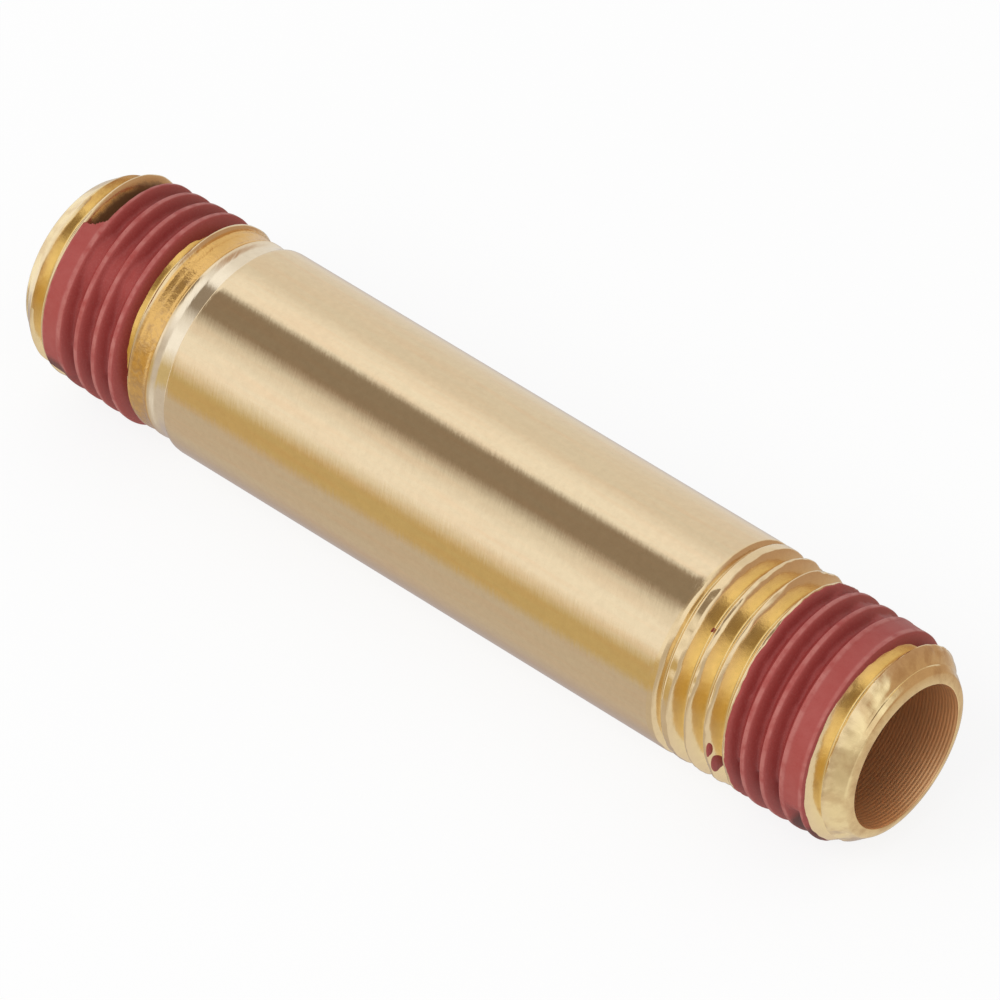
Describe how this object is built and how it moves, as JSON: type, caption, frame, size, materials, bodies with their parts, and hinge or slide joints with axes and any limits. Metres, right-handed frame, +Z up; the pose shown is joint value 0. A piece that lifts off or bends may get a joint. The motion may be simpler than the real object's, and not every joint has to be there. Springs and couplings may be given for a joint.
{
  "type": "threaded pipe nipple",
  "caption": "Straight brass pipe nipple with a tapered male thread and dried red thread sealant at each end, open right through.",
  "frame": {"origin": "middle of the bore axis, halfway between the two end faces", "axes": "+X along the bore towards the near end, which has no neck behind its thread; +Z up as the nipple lies"},
  "size_m": [0.0636, 0.0138, 0.0138],
  "materials": {
    "brass": "turned and drawn, lightly brushed along its length, bright on the crests",
    "sealant": "dried red thread sealant, satin"
  },
  "bodies": {
    "root": {"nipple_body": "brass", "sealant_near": "sealant", "sealant_far": "sealant"}
  },
  "joints": []
}
